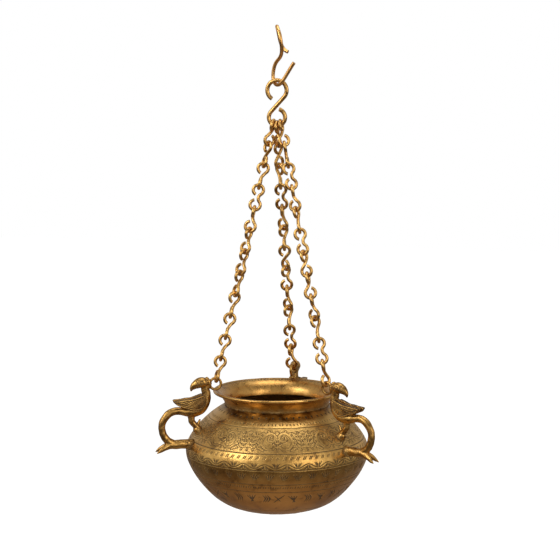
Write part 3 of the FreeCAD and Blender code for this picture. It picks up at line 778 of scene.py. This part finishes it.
def merged(parts):
    """All the parts as one skin."""
    verts, quads, tris, base = [], [], [], 0
    for v, q, t in parts:
        verts.append(v)
        quads.append(q + base)
        tris.append(t + base)
        base += len(v)
    mesh = build_mesh("parts", np.vstack(verts), np.vstack(quads), np.vstack(tris))
    holder = bpy.data.objects.new("parts", mesh)
    bpy.context.scene.collection.objects.link(holder)
    skin = holder.modifiers.new("skin", "REMESH")
    skin.mode, skin.voxel_size = "VOXEL", VOXEL * MM
    done = bpy.data.meshes.new_from_object(holder.evaluated_get(bpy.context.evaluated_depsgraph_get()))
    bpy.data.objects.remove(holder)
    bpy.data.meshes.remove(mesh)
    return done


def read(source, name, size, kind=np.float32):
    """A field of a mesh's vertices, edges or normals, one row for each."""
    values = np.empty(len(source) * size, kind)
    source.foreach_get(name, values)
    return values.reshape(-1, size)


def relax(points, edges, rounds):
    """Evens out the steps that merging leaves, without shrinking the form."""
    amount = 0.5
    count = np.bincount(edges.ravel(), minlength=len(points))[:, None]
    for k in range(rounds * 2):
        total = np.zeros_like(points)
        np.add.at(total, edges[:, 0], points[edges[:, 1]])
        np.add.at(total, edges[:, 1], points[edges[:, 0]])
        points = points + (total / count - points) * (amount if k % 2 == 0 else -amount * 1.02)
    return points


def from_outline(x, z, outline):
    """Distance in from a closed outline, negative outside."""
    ring = bend(np.array(outline + outline[:1], float))
    best, inside = np.full(len(x), 1e9), np.zeros(len(x), bool)
    for (ax, az), (bx, bz) in zip(ring[:-1], ring[1:]):
        dx, dz = bx - ax, bz - az
        if dx * dx + dz * dz < 1e-9:
            continue
        t = np.clip(((x - ax) * dx + (z - az) * dz) / (dx * dx + dz * dz), 0, 1)
        best = np.minimum(best, np.hypot(x - ax - t * dx, z - az - t * dz))
        cross = (az > z) != (bz > z)
        inside ^= cross & (x < (bx - ax) * (z - az) / (bz - az if bz != az else 1e-9) + ax)
    return np.where(inside, best, -best)


def bird_skin():
    """The bracket's skin in its own frame: station from the bowl's axis, side, height from the rim."""
    mesh = merged(bird_parts())
    mesh.update()
    points = read(mesh.vertices, "co", 3).astype(float) / MM
    edges = read(mesh.edges, "vertices", 2, np.int32)
    points = relax(points, edges, 5)
    mesh.vertices.foreach_set("co", (points * MM).astype(np.float32).ravel())
    mesh.update()
    normal = read(mesh.vertex_normals, "vector", 3).astype(float)
    x, y, z = points.T
    wide = np.abs(y)
    depth = from_outline(x, z, WING)
    on_wing = (wide > 4.4) & (depth > -0.6) & (np.abs(normal[:, 1]) > 0.35)
    fan = np.degrees(np.arctan2(z + 15.5, x - 79.5))
    feathers = np.clip((0.5 + 0.5 * np.cos(fan * TAU / 5.6) - 0.45) / 0.5, 0, 1) * (depth > 1.9) * on_wing
    border = ridge(depth, 1.75, 0.32) * on_wing
    edge = ridge(depth, -0.1, 0.5) * (wide > 3.5)
    rows = z * 1.75
    turn = np.arctan2(y, x - 75.0) * 3.4
    neck = np.clip((8.5 - z) / 3, 0, 1) * np.clip((z + 13) / 4, 0, 1) * ~on_wing
    neck = neck * np.clip((84.5 - x) / 3, 0, 1)
    scales = (1 - np.clip(np.abs(np.sin(rows + turn) * np.sin(rows - turn)) * 4.2, 0, 1)) * neck
    eye = np.hypot(x - 82.4, z - 13.0)
    head = (wide > 2.2) & (z > 7)
    eyes = (ridge(eye, 1.75, 0.36) + 0.7 * ridge(eye, 0, 0.55)) * head
    beak = ridge(x - (86.2 + 0.10 * (z - 10) ** 2 * 0.5), 0, 0.45) * (z > 5.5) * (z < 15.5) * (x > 84)
    mouth = ridge(z - (7.4 - 0.35 * (x - 86)), 0, 0.38) * (x > 86) * (x < 91.5) * (z > 3)
    crest = ridge(x - (77.4 + 0.10 * (z - 12)), 0, 0.45) * (z > 11.0) * (x < 80)
    crown = np.clip(np.cos(np.arctan2(y, z - 8) * 17) * 2 - 1, 0, 1) * (x < 76.6) * (z > 11) * (x > 70.5)
    cuff = (ridge(z, -24.6, 0.4) + ridge(z, -26.2, 0.4)) * (x > 87) * (x < 97)
    marks = [feathers, border, 0.8 * edge, 0.85 * scales, eyes, 0.9 * beak, 0.8 * mouth, 0.9 * crest,
             0.5 * crown, 0.5 * cuff]
    cut = np.clip(np.maximum.reduce(marks), 0, 1)
    near = x - wall_radius(z)
    soot_and_shade = np.clip(1.15 - near / 3.4, 0, 1) * (z < -30)
    lumps = 0.35 * np.sin(x * 1.9 + 3 * np.sin(z * 1.3)) * np.sin(y * 1.7 + z * 2.1)
    soft = 0.16 * np.sin(x * 0.61 + z * 0.37) * np.sin(z * 0.53 + y * 0.41)
    raised = 0.22 * ridge(depth, 0.8, 0.55) * on_wing
    points = points + normal * (soft + raised - 0.36 * cut + lumps * soot_and_shade)[:, None]
    x, y, z = points.T
    reach, least = np.hypot(x, y), wall_radius(z) - 0.9
    pull = np.where((z < -16) & (reach < least), least / reach, 1.0)
    points[:, 0] *= pull
    points[:, 1] *= pull
    mesh.vertices.foreach_set("co", (points * MM).astype(np.float32).ravel())
    for layer, values in (("cut", cut), ("soot_and_shade", soot_and_shade)):
        add_layer(mesh, layer, values)
    mesh.shade_smooth()
    return mesh


bird = bird_skin()
for side, degrees in BIRD_ANGLES.items():
    copy = bird.copy()
    copy.transform(Matrix.Translation((0, 0, RIM * MM)) @ Matrix.Rotation(math.radians(degrees), 4, "Z"))
    copy.update()
    add_piece(f"cast_bird_{side}", copy, cast_brass, f"bird_bracket_{side}")

# ------------------------------------------------------------------ hook, S-link and chains: CAD shapes, finished

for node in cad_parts.values():
    name = node.name
    if name == "hanging_hook":
        finish = hook_brass
    elif name == "s_link" or "_link_" in name:
        finish = wire_brass
    else:
        continue
    node.data.materials.clear()
    node.data.materials.append(finish)

# ------------------------------------------------------------------ stage, light and camera


FLOOR_DROP = 420.0


def make_floor():
    """A wide pale floor well below the hanging bowl."""
    half, rows = 6.0, 25
    line = np.linspace(-half, half, rows) / MM
    grid = np.stack([*np.meshgrid(line, line), np.full((rows, rows), BASE - FLOOR_DROP)], -1)
    grid = grid.reshape(-1, 3)
    index = np.arange(rows * rows).reshape(rows, rows)
    quads = np.stack([index[:-1, :-1], index[:-1, 1:], index[1:, 1:], index[1:, :-1]], -1).reshape(-1, 4)
    mesh = build_mesh("floor", grid, quads, [])
    material = bpy.data.materials.new("pale_floor")
    material.use_nodes = True
    shader = material.node_tree.nodes["Principled BSDF"]
    shader.inputs["Base Color"].default_value = (0.90, 0.90, 0.90, 1)
    shader.inputs["Roughness"].default_value = 0.9
    shader.inputs["Emission Color"].default_value = (1, 1, 1, 1)
    shader.inputs["Emission Strength"].default_value = 0.66
    mesh.materials.append(material)
    floor = bpy.data.objects.new("floor", mesh)
    bpy.context.scene.collection.objects.link(floor)
    floor.visible_glossy = False


def make_world():
    """Soft light from all round: a bright backdrop level with the bowl, dimmer above and below."""
    world = bpy.data.worlds.new("studio")
    bpy.context.scene.world = world
    world.use_nodes = True
    n = Nodes(world.node_tree)
    way = n.add("ShaderNodeTexCoord").outputs["Generated"]
    up = n.add("ShaderNodeSeparateXYZ", Vector=way)
    level = n.math("ADD", n.math("MULTIPLY", up.outputs["Z"], 0.5), 0.5)
    stops = [(0.0, (0.40, 0.34, 0.30)), (0.14, (0.16, 0.13, 0.11)), (0.34, (0.055, 0.045, 0.040)),
             (0.46, (0.13, 0.11, 0.095)), (0.53, (0.95, 0.92, 0.87)), (0.62, (0.74, 0.72, 0.69)),
             (0.80, (0.44, 0.43, 0.42)), (0.93, (0.28, 0.28, 0.28)), (1.0, (0.20, 0.20, 0.20))]
    bands = n.ramp(level, stops)
    back = n.math("MULTIPLY", up.outputs["Y"], 1.0, True)
    lit = n.mix(n.ramp(back, [(0.50, 0.0), (0.95, 0.75)]), bands, (0.42, 0.40, 0.37))
    seen = n.add("ShaderNodeLightPath").outputs["Is Camera Ray"]
    shown = n.mix(seen, lit, (1.0, 1.0, 1.0))
    glow = n.add("ShaderNodeBackground", Color=shown, Strength=1.0)
    n.add("ShaderNodeOutputWorld", Surface=glow.outputs[0])


def soft_box(name, place, size, power, colour=(1, 1, 1)):
    """A rectangular soft light turned toward the bowl."""
    light = bpy.data.lights.new(name, "AREA")
    light.shape, light.size, light.size_y = "RECTANGLE", size[0], size[1]
    light.energy, light.color = power, colour
    lamp = bpy.data.objects.new(name, light)
    bpy.context.scene.collection.objects.link(lamp)
    lamp.location = place
    lamp.rotation_euler = (Vector(CENTRE) - Vector(place)).to_track_quat("-Z", "Y").to_euler()


AIM_RISE, AIM_SIDE = 116.69, 3.12


def make_camera():
    """The photograph's view: a little above the rim, a long lens two metres away."""
    distance, pixels, frame_width, rise = 2.0, 1923.0, 560.0, math.radians(7.48)
    turn = math.radians(VIEW_AZIMUTH)
    back = Vector((math.sin(turn) * math.cos(rise), -math.cos(turn) * math.cos(rise), math.sin(rise)))
    across = Vector((math.cos(turn), math.sin(turn), 0))
    aim = Vector((0, 0, (RIM + AIM_RISE) * MM)) + across * (AIM_SIDE * MM)
    data = bpy.data.cameras.new("camera")
    data.sensor_width, data.lens = 36.0, pixels / frame_width * 36.0
    data.clip_start, data.clip_end = 0.05, 60.0
    camera = bpy.data.objects.new("camera", data)
    bpy.context.scene.collection.objects.link(camera)
    camera.location = aim + back * distance
    camera.rotation_euler = (-back).to_track_quat("-Z", "Y").to_euler()
    bpy.context.scene.camera = camera


make_floor()
make_world()
CENTRE = (0, 0, (RIM - 40) * MM)
soft_box("key", (-0.9, -1.0, 0.55), (0.7, 0.7), 9)
soft_box("fill", (1.2, -0.9, 0.1), (0.6, 0.9), 5, (1.0, 0.97, 0.92))
soft_box("top", (0.1, 0.1, 0.9), (0.8, 0.8), 6)
make_camera()
bpy.context.scene.view_settings.view_transform = "Standard"
